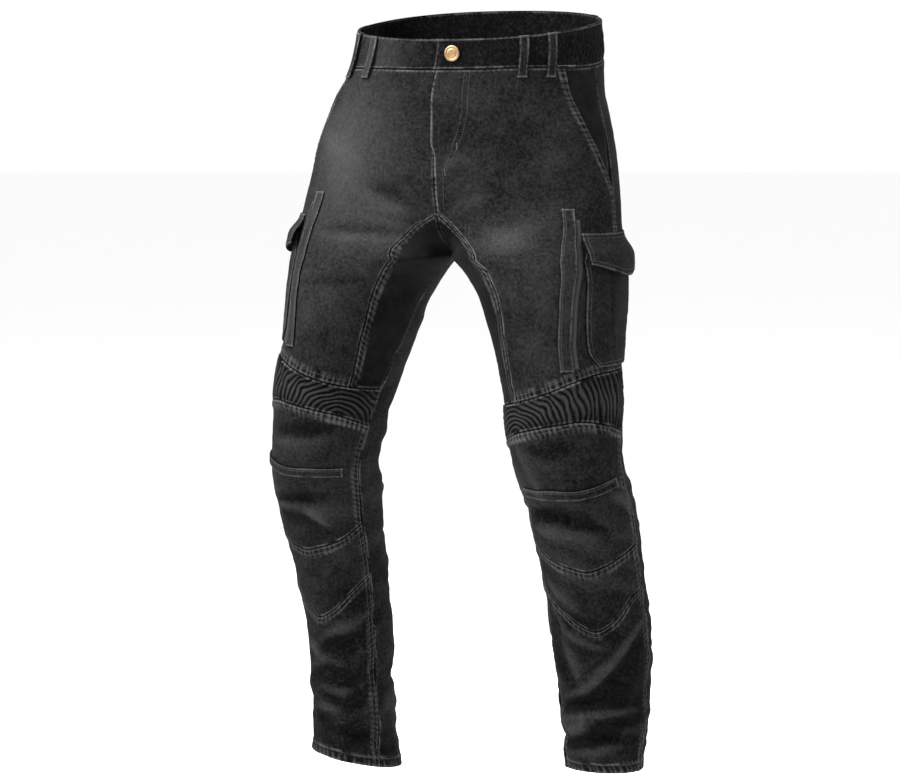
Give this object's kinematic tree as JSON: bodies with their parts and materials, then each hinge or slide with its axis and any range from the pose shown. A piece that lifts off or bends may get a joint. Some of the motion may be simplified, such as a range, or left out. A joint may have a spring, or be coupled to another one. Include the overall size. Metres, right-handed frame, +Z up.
{
  "type": "motorcycle trousers",
  "caption": "Black stretch denim riding trousers, filled out with bent knees, with pleated stretch panels, cargo pockets, thigh zips and open waist and hems",
  "frame": {"origin": "centre of the waist opening, where the wearer's waist holds the trousers", "axes": "+Z up towards the waist, -Y the front of the trousers, +X the wearer's left"},
  "size_m": [0.5225, 0.3184, 1.0695],
  "materials": {
    "denim": "washed black stretch denim, matt",
    "stretch": "plain black stretch cloth, matt",
    "rib": "black elastic pleated cloth, matt",
    "brass": "aged brass, satin"
  },
  "bodies": {
    "root": {"back_left": "denim", "back_right": "denim", "belt_loop_back": "denim", "belt_loop_back_left": "denim", "belt_loop_back_right": "denim", "belt_loop_front_left_1": "denim", "belt_loop_front_left_2": "denim", "belt_loop_front_right_1": "denim", "belt_loop_front_right_2": "denim", "cargo_flap_left": "denim", "cargo_flap_right": "denim", "cargo_pocket_left": "denim", "cargo_pocket_right": "denim", "front_left": "denim", "front_right": "denim", "inner_thigh_left": "stretch", "inner_thigh_right": "stretch", "knee_lower_left": "denim", "knee_lower_right": "denim", "knee_pocket_edge_left": "denim", "knee_pocket_edge_right": "denim", "knee_upper_left": "denim", "knee_upper_right": "denim", "pocket_facing_left": "stretch", "pocket_facing_right": "stretch", "rib_left": "rib", "rib_right": "rib", "shin_left": "denim", "shin_right": "denim", "waist_button": "brass", "waistband": "denim", "zip_welt_left": "denim", "zip_welt_right": "denim"}
  },
  "joints": []
}
